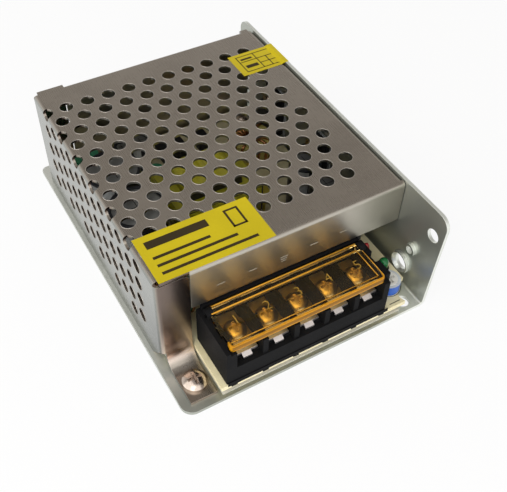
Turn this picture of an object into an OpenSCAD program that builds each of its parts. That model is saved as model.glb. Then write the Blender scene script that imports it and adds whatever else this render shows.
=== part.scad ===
// Enclosed switching power supply, in millimetres.
// A folded base plate with one tall wall carries the circuit board. A folded cover, punched
// all over with round holes, closes the top, left side, front and rear. In front of it stands
// a five-way screw terminal block under a hinged clear lid.
// +Z is up, the terminals face -Y and the tall wall stands at +X. The origin is at the
// centre of the footprint, on the underside of the base plate.

/* [Base and wall] */
// Overall width, across the base plate
case_w = 78; // [76:1:92]
// Overall length, along the tall wall
case_l = 110; // [108:1:130]
// Overall height, to the top of the tall wall
case_h = 36; // [35:0.5:46]
// Thickness of the base and wall sheet
base_t = 1; // [0.8:0.1:1.4]
// Inner radius of the base's bend
base_bend_r = 0.8; // [0.4:0.1:1.5]
// Radius of the wall's upper corners
wall_corner_r = 3.6; // [2:0.2:5]
// How far the wall's top leans out past the base's front edge
wall_lean = 1.5; // [0.5:0.1:3]

/* [Cover] */
// Thickness of the cover sheet
cover_t = 0.8; // [0.6:0.1:1]
// Inner radius of the cover's bends
cover_bend_r = 0.6; // [0.4:0.1:0.9]
// Depth of the open terminal bay, from the wall's front to the cover's front face
bay_d = 18.1; // [17.8:0.1:20]
// Length of the base behind the cover
rear_lip = 6.3; // [4:0.1:9]
// Width of the base to the left of the cover
side_lip = 1.3; // [0.5:0.1:2]
// Depth of the cover's top below the wall's top
top_drop = 0.4; // [0.2:0.1:1]
// Height of the front flange above the terminals
flange_h = 14.2; // [12:0.1:14.6]
// Width of the corner legs
leg_w = 9.3; // [8.8:0.1:9.6]
// Length of the foot that is screwed to the base
foot_l = 14.1; // [13:0.1:15]
// Height of the short flange beside the tall wall
wall_flange_h = 8; // [6:0.5:10]

/* [Punched holes] */
// Diameter of each punched hole
hole_d = 4.15; // [3:0.05:4.8]
// Distance between neighbouring hole centres
hole_pitch = 6.7; // [6.4:0.1:8]

/* [Circuit board] */
// Thickness of the circuit board
board_t = 1.6; // [1:0.1:2]
// Height of the base's bosses under the board
boss_h = 2.8; // [2.2:0.1:3.4]
// Outer diameter of the bosses
boss_d = 6; // [5:0.2:7]

/* [Terminal block] */
// Distance between neighbouring terminals
term_pitch = 9.5; // [9.2:0.1:9.8]
// Width of the barriers between the terminals
barrier_t = 1.6; // [1.2:0.1:1.8]
// Depth of the block, front to rear
block_d = 16.8; // [16.2:0.1:17.2]
// Height of the contact floor above the board
floor_h = 7.2; // [7:0.1:7.4]
// Diameter of the terminal screws' heads
screw_head_d = 6.2; // [5.6:0.1:6.6]
// Diameter of the terminal screws' shanks
screw_shank_d = 3.4; // [2.8:0.1:3.6]
// How far a terminal screw backs out
screw_travel = 2.2; // [1:0.1:2.2]
// Thickness of the clear lid
lid_t = 1.2; // [1:0.1:1.4]

/* [Wall holes] */
// Diameter of the plain mounting hole near the wall's top
wall_hole_d = 4.3; // [3.4:0.1:5]
// Core diameter of the tapped mounting boss
wall_tap_d = 2.5; // [2.4:0.1:3.4]
// Diameter of the collared hole low on the wall
collar_hole_d = 5; // [4:0.1:5.4]
// Diameter of the mounting hole in the base
base_hole_d = 4; // [3:0.1:4.4]

/* [Large components] */
// Diameter of the input capacitors
bulk_d = 16; // [12:0.5:16]
// Height of the input capacitors
bulk_h = 25; // [16:0.5:27]
// Length of the transformer's core, along X
core_l = 27; // [24:0.5:28]
// Diameter of the output capacitors
out_cap_d = 10; // [8:0.5:11]
// Height of the output capacitors
out_cap_h = 20; // [12:0.5:26]

/* [Hidden] */
$fn = 48;
eps = 0.01;

// Outer faces of the case
x_left = -case_w / 2;
x_right = case_w / 2;
y_front = -case_l / 2;
y_rear = case_l / 2;
base_front = y_front + wall_lean;
wall_in = x_right - base_t;

// Faces of the cover, which stands on the base and clears the wall
wall_gap = 0.1;
cov_l = x_left + side_lip;
cov_r = wall_in - wall_gap;
cov_f = y_front + bay_d;
cov_b = y_rear - rear_lip;
cov_top = case_h - top_drop;
cov_w = cov_r - cov_l;
cov_len = cov_b - cov_f;
fold_r = cover_t + cover_bend_r;
rear_inset = 0.4;
seam = 0.25;

// Circuit board, on the bosses of the base
board_gap = 1;
board_z = base_t + boss_h;
board_top = board_z + board_t;
board_l = cov_l + cover_t + board_gap;
board_r = wall_in - 1.6;
board_f = base_front + 0.6;
board_b = cov_b - rear_inset - cover_t - board_gap;
strip_l = cov_l + leg_w + 0.3;
board_cut = [board_r - 0.5, board_f + 2.4];
board_cut_r = 4.9;
boss_hole_d = 3;
boss_spots = [
  [board_l + 4, cov_f + 5.5], [board_l + 5, board_b - 5],
  [board_r - 5, board_b - 5], [board_r - 3.6, cov_f + 14.5]
];
sheet_t = 0.25;

// Terminal block: its body stands on the board, its rear wall lies under the front flange
ways = 5;
block_cx = -0.6;
block_f = board_f + 0.1;
block_b = block_f + block_d;
block_foot = 0.5;
floor_z = board_top + floor_h;
end_wall_t = 1.85;
bay_half = term_pitch / 2 - barrier_t / 2;
block_half = ways * term_pitch / 2 - barrier_t / 2 + end_wall_t;
rear_wall_t = 1.2;
block_step_w = 2.3;
block_step_drop = 0.8;
end_pad_t = 1.2;
contact_t = 0.8;
clamp_t = 1;
fit_gap = 0.05;
contact_top = floor_z + contact_t;
clamp_top = contact_top + clamp_t;
screw_head_h = 2.4;
screw_y = block_f + 8.4;
screw_under = 6;
lid_clear = 0.2;
lid_z = clamp_top + screw_head_h + screw_travel + lid_clear;
lid_pin_y = block_b - rear_wall_t - 2;
lid_barrel_r = lid_t;
lid_pin_r = 0.7;
ear_w = 3.4;
lip_drop = 1;
lip_t = 1;
lid_f = block_f + 0.7;
lip_back = lid_f - block_f + lip_t + 0.4;
lid_shift = -0.5;
lid_reach = 1.5;
lid_relief = 0.25;
function bay_x(i) = block_cx + (i - (ways + 1) / 2) * term_pitch;

// Holes of the wall and base, measured from the wall's front and the base's underside
wall_hole = [y_front + 4.2, 27.4];
wall_tap = [y_front + 10.3, 16.3];
collar_hole = [y_front + 13.2, board_top + 2.6];
base_hole = [wall_in - 4.6, base_front + 3.3];
boss_rim = 0.7;
tap_boss_h = 1.1;
collar_rim = 1.1;
collar_h = 1;
collar_flare = 0.7;

// Power devices, screwed to the wall through insulating pads
pad_t = 0.3;
tab_t = 1.3;
device_w = 10;
device_stand = 2.2;
device_hole_z = board_top + 15;
rectifier_y = cov_f + 40;
switch_y = cov_b - 19;
device_screw_d = 3;

// Foot of the cover
foot_x = cov_l + fold_r + (leg_w - fold_r) / 2;
foot_bend_r = 5;
side_clip = 5;
foot_front = cov_f - foot_l;
foot_screw_y = foot_front + 5.5;
foot_screw_d = 3;

// Labels
label_t = 0.1;
front_label_size = [33, 16];
date_label_l = 11;
date_label_w = 16;
date_label_fold = 6;

// ---------- shared shapes ----------

// L-shaped strip in section: outer corner at the origin, legs along +X and -Y
module fold_profile(a, b, t, r) {
  difference() {
    intersection() {
      translate([0, -b]) square([a, b]);
      union() {
        translate([r + t, -b]) square([a, b]);
        translate([0, -b]) square([r + t + eps, b - r - t]);
        translate([r + t, -r - t]) circle(r + t);
      }
    }
    translate([t + r, -b - 1]) square([a, b + 1 - t]);
    translate([t, -b - 1]) square([r + eps, b + 1 - t - r]);
    translate([r + t, -r - t]) circle(r);
  }
}

// Rectangle with its corners rounded, centred on the origin
module round_rect(w, l, r) {
  square([w - 2 * r, l], center = true);
  square([w, l - 2 * r], center = true);
  for (x = [-1, 1], y = [-1, 1]) translate([x * (w / 2 - r), y * (l / 2 - r)]) circle(r);
}

// Box from corner a to corner b
module span(a, b) {
  translate(a) cube(b - a);
}

// Domed screw head with a cross recess, on the plane z = 0
module domed_head(d, h, slot = 0.9) {
  crown_r = (d * d / 4 + h * h * 0.36) / (2 * h * 0.6);
  difference() {
    intersection() {
      cylinder(d = d, h = h);
      translate([0, 0, h - crown_r]) sphere(crown_r, $fn = 96);
    }
    translate([0, 0, h]) for (a = [0, 90]) rotate(a)
      cube([d * 0.56, slot, h * 1.1], center = true);
  }
}

// Upright can with a rolled groove near its foot
module can(d, h) {
  difference() {
    cylinder(d = d, h = h);
    translate([0, 0, h - 0.4]) cylinder(d = d - 1.6, h = 1);
    translate([0, 0, 1.8]) rotate_extrude() translate([d / 2 + 0.15, 0]) circle(0.6, $fn = 24);
  }
}

// Cone of a countersunk head: it ends inside the wall's sheet
sink_h = 0.85 * base_t;
function sink_d(d) = d + 2.4 * sink_h;

// Countersunk screw whose head lies flush with the plane z = 0, with its shank pointing down
module flush_screw(d, l) {
  difference() {
    union() {
      translate([0, 0, -l]) cylinder(d = d - 0.1, h = l);
      translate([0, 0, -sink_h]) cylinder(d1 = d - 0.1, d2 = sink_d(d) - 0.1, h = sink_h);
    }
    translate([0, 0, -0.1]) for (a = [0, 90]) rotate(a)
      cube([d, 0.7, 1.2], center = true);
  }
}

// Countersunk hole that takes flush_screw
module flush_hole(d, l) {
  translate([0, 0, -l - 1]) cylinder(d = d, h = l + 2);
  translate([0, 0, -sink_h]) cylinder(d1 = d, d2 = sink_d(d), h = sink_h);
  translate([0, 0, -eps]) cylinder(d = sink_d(d), h = 1);
}

// Copies its children onto the wall's outer face, at height z and place y
module on_wall(y, z) {
  translate([x_right, y, z]) rotate([0, 90, 0]) children();
}

// ---------- case ----------

module wall_outline() {
  r = wall_corner_r;
  bend = base_bend_r + base_t;
  polygon([
    [base_front, bend], [y_front, case_h - r], [y_front + r, case_h],
    [y_rear - r, case_h], [y_rear, case_h - r], [y_rear, bend]
  ]);
  for (y = [y_front + r, y_rear - r]) translate([y, case_h - r]) circle(r);
}

module base_outline() {
  corner_r = [3.5, 2];
  reach = x_right - base_bend_r - base_t;
  difference() {
    translate([x_left, base_front]) square([reach - x_left, y_rear - base_front]);
    translate([x_left - 1, base_front - 1]) square(corner_r[0] + 1);
    translate([x_left - 1, y_rear - corner_r[1]]) square(corner_r[1] + 1);
  }
  translate([x_left, base_front] + [corner_r[0], corner_r[0]]) circle(corner_r[0]);
  translate([x_left + corner_r[1], y_rear - corner_r[1]]) circle(corner_r[1]);
}

module base_chassis() {
  bend = base_bend_r + base_t;
  color([0.63, 0.66, 0.64]) difference() {
    union() {
      linear_extrude(base_t) base_outline();
      translate([x_right, base_front, 0]) mirror([1, 0, 0]) mirror([0, 0, 1])
        rotate([90, 0, 0]) mirror([0, 0, 1]) linear_extrude(y_rear - base_front)
          fold_profile(bend + eps, bend + eps, base_t, base_bend_r);
      translate([wall_in, 0, 0]) rotate([90, 0, 90]) linear_extrude(base_t) wall_outline();
      for (p = boss_spots) translate([p[0], p[1], base_t - eps])
        cylinder(d = boss_d, h = boss_h + eps);
      on_wall(wall_tap[0], wall_tap[1]) translate([0, 0, -base_t - tap_boss_h])
        cylinder(d = wall_tap_d + 2 * boss_rim, h = tap_boss_h + eps);
      on_wall(collar_hole[0], collar_hole[1]) translate([0, 0, -base_t - collar_h])
        cylinder(d = collar_hole_d + 2 * collar_rim, h = collar_h + eps);
    }
    for (p = boss_spots) translate([p[0], p[1], -1]) cylinder(d = boss_hole_d, h = 9);
    on_wall(wall_hole[0], wall_hole[1]) translate([0, 0, -5]) cylinder(d = wall_hole_d, h = 6);
    on_wall(wall_tap[0], wall_tap[1]) translate([0, 0, -5]) cylinder(d = wall_tap_d, h = 6);
    on_wall(collar_hole[0], collar_hole[1]) {
      translate([0, 0, -5]) cylinder(d = collar_hole_d, h = 6);
      translate([0, 0, -base_t - collar_h - eps])
        cylinder(d1 = collar_hole_d + 2 * collar_flare, d2 = collar_hole_d, h = collar_h + eps);
    }
    translate([base_hole[0], base_hole[1], -1]) cylinder(d = base_hole_d, h = 3);
    translate([foot_x, foot_screw_y, -1]) cylinder(d = foot_screw_d, h = 3);
    for (y = [rectifier_y, switch_y]) on_wall(y, device_hole_z) flush_hole(device_screw_d, 3);
    for (y = cover_screw_ys) on_wall(y, cover_screw_z) flush_hole(cover_screw_d, 3);
  }
}

cover_screw_d = 2.5;
cover_screw_z = cov_top - wall_flange_h / 2 - 0.6;
cover_screw_ys = [cov_f + 9, cov_b - 9];

// Rows of holes: odd rows start on the fold, even rows lie half a pitch inside it
row_pitch = hole_pitch * sqrt(3) / 2;
end_margin = 10.5;
wall_margin = 8;
foot_margin = 7;
rows = floor((cov_len - 2 * end_margin) / row_pitch) + 1;
first_row = cov_f + (cov_len - (rows - 1) * row_pitch) / 2;
function row_start(j) = j % 2 == 0 ? 0.5 : 1;
function fits(limit, j) = floor(limit / hole_pitch - row_start(j)) + 1;

module punched_holes() {
  side_h = cov_top - base_t;
  for (j = [0 : rows - 1]) translate([0, first_row + j * row_pitch, 0]) {
    for (i = [0 : fits(cov_w - wall_margin, j) - 1])
      translate([cov_l + (row_start(j) + i) * hole_pitch, 0, cov_top - 2 * cover_t])
        cylinder(d = hole_d, h = 3 * cover_t);
    for (i = [0 : fits(side_h - foot_margin, j) - 1])
      translate([cov_l - cover_t, 0, cov_top - (row_start(j) + i) * hole_pitch])
        rotate([0, 90, 0]) cylinder(d = hole_d, h = 3 * cover_t);
    if (j % 2 == 1) fold_hole();
  }
}

// A hole centred on the fold opens both faces
module fold_hole() {
  shift = fold_r * (1 - PI / 4) + 0.1;
  translate([cov_l + shift, 0, cov_top - fold_r]) cylinder(d = hole_d, h = fold_r + 1);
  translate([cov_l - 1, 0, cov_top - shift]) rotate([0, 90, 0])
    cylinder(d = hole_d, h = fold_r + 1);
}

// Top, left side and short right flange, bent from one strip
module cover_shell(y0, y1) {
  side_h = cov_top - base_t;
  translate([0, y1, 0]) rotate([90, 0, 0]) linear_extrude(y1 - y0) {
    translate([cov_l, cov_top]) fold_profile(cov_w / 2, side_h, cover_t, cover_bend_r);
    translate([cov_r, cov_top]) mirror([1, 0])
      fold_profile(cov_w / 2 + eps, wall_flange_h, cover_t, cover_bend_r);
  }
}

// Leg bent from the left side, with its outer corner at the origin and the face along +X
module corner_leg(h) {
  tip_r = 1.6;
  intersection() {
    linear_extrude(h) fold_profile(leg_w, fold_r + eps, cover_t, cover_bend_r);
    translate([0, 1, 0]) rotate([90, 0, 0]) linear_extrude(fold_r + 3) {
      square([leg_w, h - tip_r]);
      square([leg_w - tip_r, h]);
      translate([leg_w - tip_r, h - tip_r]) circle(tip_r);
    }
  }
}

// Foot bent forward from the front leg and lying on the base
module cover_foot() {
  x0 = cov_l + fold_r;
  top = base_t + cover_t;
  bend_z = top + foot_bend_r;
  face_y = cov_f;
  difference() {
    union() {
      translate([x0, 0, 0]) rotate([90, 0, 90]) linear_extrude(leg_w - fold_r)
        difference() {
          union() {
            translate([face_y, bend_z]) square([cover_t, eps]);
            translate([foot_front, base_t]) square([face_y - foot_bend_r - foot_front, cover_t]);
            intersection() {
              translate([face_y - foot_bend_r, bend_z]) circle(foot_bend_r + cover_t);
              translate([face_y - foot_bend_r - eps, base_t])
                square([foot_bend_r + cover_t + eps, foot_bend_r + cover_t]);
            }
          }
          translate([face_y - foot_bend_r, bend_z]) circle(foot_bend_r);
        }
    }
    translate([foot_x, foot_screw_y, 0]) cylinder(d = foot_screw_d + 0.3, h = 9);
  }
}

module mesh_cover() {
  leg_top = cov_top - cover_t - seam;
  leg_foot = base_t + cover_t + foot_bend_r;
  flange_x0 = cov_l + leg_w + seam;
  flange_x1 = cov_r - 0.1;
  rear_x1 = cov_r - 4;
  back = cov_b - rear_inset;
  shell_f = cov_f + fold_r;
  shell_b = cov_b - fold_r;
  color([0.56, 0.53, 0.5]) {
    difference() {
      union() {
        cover_shell(shell_f, shell_b);
        // Top sheet out to the front and rear edges
        span([cov_l + fold_r, cov_f, cov_top - cover_t], [flange_x0, shell_f + eps, cov_top]);
        span([cov_l + fold_r, shell_b - eps, cov_top - cover_t], [flange_x0, cov_b, cov_top]);
        span([rear_x1, shell_b - eps, cov_top - cover_t],
             [cov_r - fold_r, cov_b, cov_top]);
        // Front and rear flanges
        translate([flange_x0, cov_f, cov_top]) rotate([90, 0, 90])
          linear_extrude(flange_x1 - flange_x0)
            fold_profile(fold_r + eps, flange_h, cover_t, cover_bend_r);
        translate([flange_x0, back, cov_top]) rotate([90, 0, 90]) mirror([1, 0, 0])
          linear_extrude(rear_x1 - flange_x0)
            fold_profile(fold_r + rear_inset + eps, cov_top - base_t, cover_t, cover_bend_r);
        translate([rear_x1 - eps, back - cover_t, base_t])
          cube([cov_r - 1 - rear_x1, cover_t, cov_top - cover_t - 1.2 - base_t]);
        // Corner legs
        translate([cov_l, cov_f, leg_foot]) mirror([0, 1, 0]) corner_leg(leg_top - leg_foot);
        translate([cov_l, cov_b, base_t]) corner_leg(leg_top - base_t);
        cover_foot();
      }
      punched_holes();
      // Clipped lower front corner of the left side
      translate([cov_l - 1, shell_f - eps, base_t]) rotate([0, 90, 0]) mirror([1, 0, 0])
        linear_extrude(3)
        polygon([[-1, -eps], [side_clip, -eps], [0, side_clip], [-1, side_clip]]);
      for (y = cover_screw_ys) on_wall(y, cover_screw_z)
        translate([0, 0, -6]) cylinder(d = cover_screw_d, h = 6);
    }
  }
}

module foot_screw() {
  color([0.72, 0.68, 0.64]) translate([foot_x, foot_screw_y, base_t + cover_t]) {
    domed_head(7, 2.3);
    translate([0, 0, -cover_t - base_t + 0.1])
      cylinder(d = foot_screw_d - 0.1, h = base_t + cover_t);
  }
}

module cover_screws() {
  color([0.75, 0.76, 0.76]) for (y = cover_screw_ys) on_wall(y, cover_screw_z)
    flush_screw(cover_screw_d, 4);
}

// ---------- board ----------

module board_outline(grow = 0) {
  difference() {
    translate([board_l - grow, board_f - grow])
      square([board_r - board_l + 2 * grow, board_b - board_f + 2 * grow]);
    translate([board_l - 5, board_f - 5])
      square([strip_l - grow - board_l + 5, cov_f + cover_t + board_gap - grow - board_f + 5]);
    translate(board_cut) circle(board_cut_r - grow);
  }
}

module insulation_sheet() {
  color([0.86, 0.85, 0.8]) translate([0, 0, base_t]) linear_extrude(sheet_t) difference() {
    board_outline(-0.6);
    for (p = boss_spots) translate(p) circle(d = boss_d + 1);
  }
}

module circuit_board() {
  color([0.86, 0.78, 0.52]) translate([0, 0, board_z]) linear_extrude(board_t) difference() {
    board_outline();
    for (p = boss_spots) translate(p) circle(d = boss_hole_d + 0.3);
  }
}

module board_screws() {
  color([0.78, 0.78, 0.76]) for (p = boss_spots) translate([p[0], p[1], board_top]) {
    domed_head(5.6, 1.9);
    translate([0, 0, -board_t - boss_h + 0.2])
      cylinder(d = boss_hole_d - 0.1, h = board_t + boss_h);
  }
}

// ---------- terminals ----------

// Side view of a barrier: full height in front, lower under the lid's hinge
module barrier_profile(top) {
  hinge_top = lid_z + lid_t - 2 * lid_barrel_r - 0.3;
  low_top = min(hinge_top, lid_z - lip_drop - lid_clear);
  translate([block_f + 0.4, floor_z - 2]) square([block_d - 1, low_top - floor_z + 2]);
  translate([block_f + lip_back, floor_z - 2])
    square([lid_pin_y - lid_barrel_r - 0.3 - block_f - lip_back, top - floor_z + 2]);
}

module terminal_block() {
  cx = block_cx;
  top = lid_z - 0.3;
  front_top = lid_z - lip_drop - lid_clear;
  ear_x = block_half - end_wall_t;
  step_y = block_f + block_step_w;
  rib = [1.4, 5.2];
  pin_depth = 0.3;
  color([0.07, 0.07, 0.08]) difference() {
    union() {
      // Lower body, with the front step that each contact's tongue bends over
      span([cx - block_half, step_y, board_top + block_foot],
           [cx + block_half, block_b, floor_z]);
      span([cx - block_half, block_f, board_top + block_foot],
           [cx + block_half, step_y + eps, floor_z - block_step_drop]);
      // Rear wall under the cover's flange
      span([cx - block_half, block_b - rear_wall_t, floor_z - eps],
           [cx + block_half, block_b, lid_z + lid_t]);
      // Barriers and end walls
      for (i = [1 : ways - 1])
        translate([bay_x(i) + term_pitch / 2 - barrier_t / 2, 0, 0]) rotate([90, 0, 90])
          linear_extrude(barrier_t) barrier_profile(top - 0.3);
      for (s = [-1, 1]) translate([cx, 0, 0]) mirror([s > 0 ? 0 : 1, 0, 0]) {
        translate([ear_x, 0, 0]) rotate([90, 0, 90]) linear_extrude(end_wall_t) {
          translate([block_f, floor_z - 3]) square([block_d, front_top - floor_z + 3]);
          translate([block_f + lip_back, floor_z - 3])
            square([block_d - lip_back, top - floor_z + 3]);
          // Ear round the lid's pin
          translate([lid_pin_y - ear_w / 2, floor_z]) square([ear_w, lid_z - floor_z]);
          translate([lid_pin_y, lid_z + lid_t - lid_barrel_r]) circle(ear_w / 2);
        }
      }
      // Thick left end
      span([cx - block_half - end_pad_t, block_f, board_top + block_foot],
           [cx - block_half + eps, block_b, top]);
      // Ribs down the outside of the right end wall
      for (y = [screw_y - 3.6, lid_pin_y])
        translate([cx + block_half - eps, y - rib[1] / 2, board_top + block_foot])
          cube([rib[0], rib[1], top - board_top - block_foot]);
      // Feet along both edges
      for (i = [0 : ways], y = [block_f, block_b - 2])
        translate([cx + (i - ways / 2) * term_pitch - 1.1 - sign(i - ways / 2) * 0.6, y, board_top])
          cube([2.2, 2, block_foot + eps]);
    }
    // Bores under the screws and for the lid's pins
    for (i = [1 : ways]) translate([bay_x(i), screw_y, contact_top - screw_under - 0.6])
      cylinder(d = screw_shank_d + 0.4, h = screw_under);
    translate([cx - block_half - pin_depth, lid_pin_y, lid_z + lid_t - lid_barrel_r])
      rotate([0, 90, 0]) cylinder(r = lid_pin_r + fit_gap, h = 2 * (block_half + pin_depth));
  }
}

module terminal_contacts() {
  w = 2 * bay_half - 0.9;
  tongue_w = 2.7;
  tongue_l = 1.2;
  plate_f = block_f + block_step_w + 0.2;
  color([0.82, 0.81, 0.78]) for (i = [1 : ways]) translate([bay_x(i), 0, 0]) difference() {
    union() {
      span([-w / 2, plate_f, floor_z],
           [w / 2, block_b - rear_wall_t - 0.2, contact_top]);
      // Tongue bent down over the front step
      translate([-tongue_w / 2, 0, 0]) rotate([90, 0, 90]) linear_extrude(tongue_w) polygon([
        [plate_f + eps, floor_z + 0.2], [plate_f + eps, contact_top], [plate_f, contact_top],
        [plate_f - tongue_l, contact_top - 0.7], [plate_f - tongue_l, contact_top - 1.3],
        [plate_f, floor_z + 0.2]
      ]);
    }
    translate([0, screw_y, floor_z - 1]) cylinder(d = screw_shank_d + 2 * fit_gap, h = 3);
  }
}

// Square clamp with two turned-down edges, which the screw carries
module clamp_plate(i) {
  w = 2 * bay_half - 0.5;
  l = 6.8;
  color([0.8, 0.79, 0.74]) translate([bay_x(i), screw_y, contact_top]) difference() {
    linear_extrude(clamp_t) round_rect(w, l, 0.6);
    translate([0, 0, -1]) cylinder(d = screw_shank_d + 2 * fit_gap, h = 3);
    for (y = [-1, 1]) translate([0, y * 1.9, 0]) cube([w + 1, 0.5, 0.5], center = true);
  }
}

module terminal_screw(i) {
  color([0.83, 0.82, 0.78]) translate([bay_x(i), screw_y, clamp_top]) {
    domed_head(screw_head_d, screw_head_h, 0.9);
    translate([0, 0, -screw_under + 0.8]) cylinder(d = screw_shank_d, h = screw_under - 0.8);
  }
}

// Top view of the lid's plate, with rounded front corners
module lid_outline(x0, x1, y0, y1) {
  r = 1;
  translate([x0 + r, y0]) square([x1 - x0 - 2 * r, y1 - y0]);
  translate([x0, y0 + r]) square([x1 - x0, y1 - y0 - r]);
  for (x = [x0 + r, x1 - r]) translate([x, y0 + r]) circle(r);
}

module terminal_lid() {
  axis_z = lid_z + lid_t - lid_barrel_r;
  top = lid_z + lid_t;
  plate_half = block_half - 1.05;
  plate_l = lid_shift - plate_half;
  plate_r = lid_shift + plate_half;
  barrel_half = block_half - end_wall_t - 0.25;
  plate_b = lid_pin_y - ear_w / 2 - 0.3;
  border = 1.6;
  rim = 0.4;
  bevel = 0.4;
  gusset = [3.4, 0.5];
  color([0.95, 0.55, 0.08, 0.55]) translate([block_cx, 0, 0]) {
    difference() {
      union() {
        translate([0, 0, lid_z]) linear_extrude(lid_t)
          lid_outline(plate_l, plate_r, lid_f, plate_b);
        translate([0, 0, lid_z - lip_drop]) linear_extrude(lip_drop + eps) intersection() {
          lid_outline(plate_l, plate_r, lid_f, plate_b);
          translate([plate_l, lid_f]) square([plate_r - plate_l, lip_t]);
        }
        // Back over the hinge barrel, with its rear edge bevelled
        translate([-barrel_half, 0, lid_z]) rotate([90, 0, 90]) linear_extrude(2 * barrel_half)
          polygon([
            [plate_b - eps, 0], [lid_pin_y + lid_reach, 0],
            [lid_pin_y + lid_reach, lid_t - bevel], [lid_pin_y + lid_reach - bevel, lid_t],
            [plate_b - eps, lid_t]
          ]);
        translate([-barrel_half, lid_pin_y, axis_z]) rotate([0, 90, 0])
          cylinder(r = lid_barrel_r, h = 2 * barrel_half);
        translate([-block_half + 0.3, lid_pin_y, axis_z]) rotate([0, 90, 0])
          cylinder(r = lid_pin_r, h = 2 * block_half - 0.6);
        // Finger tab on the left edge
        span([plate_l - gusset[1], screw_y - gusset[0], lid_z + 0.2],
             [plate_l + eps, screw_y, top]);
      }
      // Shallow fields in the top: behind the front rim, over the screws, over the hinge
      for (y = [[lid_f + lip_t - 0.3, lid_f + lip_t + 0.2],
                [lid_f + lip_t + 0.2 + rim, lid_pin_y - 1 - rim],
                [lid_pin_y - 1, lid_pin_y + lid_reach - bevel - rim]])
        span([plate_l + rim, y[0], top - lid_relief], [plate_r - border, y[1], top + 1]);
    }
  }
}

module clamp_plate_1() { clamp_plate(1); }
module clamp_plate_2() { clamp_plate(2); }
module clamp_plate_3() { clamp_plate(3); }
module clamp_plate_4() { clamp_plate(4); }
module clamp_plate_5() { clamp_plate(5); }
module terminal_screw_1() { terminal_screw(1); }
module terminal_screw_2() { terminal_screw(2); }
module terminal_screw_3() { terminal_screw(3); }
module terminal_screw_4() { terminal_screw(4); }
module terminal_screw_5() { terminal_screw(5); }

// ---------- adjuster and indicator ----------

trimmer_at = [block_cx + block_half + 6, board_f + 6.8];
trimmer_d = 7;
rotor_d = 5.2;
trimmer_h = 3.4;

module trimmer_body() {
  color([0.1, 0.32, 0.72]) translate([trimmer_at[0], trimmer_at[1], board_top]) difference() {
    cylinder(d = trimmer_d, h = trimmer_h);
    translate([0, 0, 1.4]) cylinder(d = rotor_d + 2 * fit_gap, h = trimmer_h);
  }
}

module trimmer_rotor() {
  color([0.93, 0.93, 0.9]) translate([trimmer_at[0], trimmer_at[1], board_top + 1.4])
    difference() {
      cylinder(d = rotor_d, h = trimmer_h - 1.1);
      translate([0, 0, trimmer_h - 1.1]) for (a = [0, 90]) rotate(a)
        cube([3.6, 0.8, 1.6], center = true);
    }
}

module status_led() {
  led_at = [board_r - 3.6, cov_f - 3.2];
  color([0.1, 0.6, 0.2]) translate([led_at[0], led_at[1], board_top]) {
    cylinder(d = 3.8, h = 1);
    cylinder(d = 3, h = 3.2);
    translate([0, 0, 3.2]) sphere(1.5);
  }
}

// ---------- components inside the cover ----------

module on_board(x, y) {
  translate([x, y, board_top]) children();
}

in_l = cov_l + cover_t;
in_f = cov_f + cover_t;
in_b = cov_b - rear_inset - cover_t;
middle_x = (in_l + wall_in) / 2;
bulk_gap = 0.8;
out_cap_x = wall_in - 12.5;

module input_fuse() {
  l = 16;
  on_board(in_l + 24.5, block_b + 4.2) {
    color([0.85, 0.88, 0.86]) translate([-l / 2 + 3, 0, 3.2]) rotate([0, 90, 0])
      cylinder(d = 4.8, h = l - 6);
    color([0.8, 0.74, 0.55]) for (s = [-1, 1]) translate([s * (l / 2 - 1.5), 0, 3.2]) {
      rotate([0, 90, 0]) cylinder(d = 5.2, h = 3 + 2 * eps, center = true);
      translate([0, 0, -2]) cube([1, 1, 2.4], center = true);
    }
  }
}

module inrush_thermistor() {
  d = 9;
  on_board(in_l + 37.5, block_b + 4.2) {
    color([0.12, 0.2, 0.14]) translate([0, 0, 2.5 + d / 2]) rotate([90, 0, 0])
      cylinder(d = d, h = 3.6, center = true);
    color([0.75, 0.75, 0.75]) for (s = [-1, 1]) translate([s * 2.5, 0, 0])
      cylinder(d = 0.8, h = 4.2);
  }
}

// Ring core lying flat, with two windings that leave a gap between them
module ring_section(w, h) {
  translate([-w / 2, -h / 2]) square([w, h]);
}

choke_at = [in_l + 9.9, in_f + 14.8];
choke_mid_r = 5.1;
choke_section = [3.4, 6.5];
wire_t = 1.1;
module choke_core() {
  color([0.1, 0.35, 0.2]) on_board(choke_at[0], choke_at[1])
    translate([0, 0, wire_t + choke_section[1] / 2]) rotate_extrude()
      translate([choke_mid_r, 0]) ring_section(choke_section[0], choke_section[1]);
}

module choke_windings() {
  color([0.72, 0.36, 0.16]) on_board(choke_at[0], choke_at[1])
    translate([0, 0, wire_t + choke_section[1] / 2]) for (s = [0, 180]) rotate(s + 15)
      rotate_extrude(angle = 150) translate([choke_mid_r, 0]) difference() {
        ring_section(choke_section[0] + 2 * wire_t, choke_section[1] + 2 * wire_t);
        ring_section(choke_section[0] + 0.1, choke_section[1] + 0.1);
      }
}

module film_capacitor() {
  color([0.9, 0.76, 0.1]) on_board(middle_x - 5, in_f + 15.5)
    linear_extrude(15.5) round_rect(18, 9, 0.8);
}

module bridge_rectifier() {
  on_board(transformer_at[0], in_f + 25) {
    color([0.09, 0.09, 0.1]) translate([-7.5, -1.75, 3]) cube([15, 3.5, 11]);
    color([0.75, 0.75, 0.75]) for (i = [-1.5 : 1.5]) translate([i * 3.8 - 0.4, -0.4, 0])
      cube([0.8, 0.8, 3 + eps]);
  }
}

module bulk_capacitors() {
  color([0.08, 0.08, 0.09]) for (i = [0, 1])
    on_board(in_l + bulk_gap + bulk_d / 2, in_f + 30.6 + (i - 0.5) * (bulk_d + 1) + 9)
      can(bulk_d, bulk_h);
}

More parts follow.
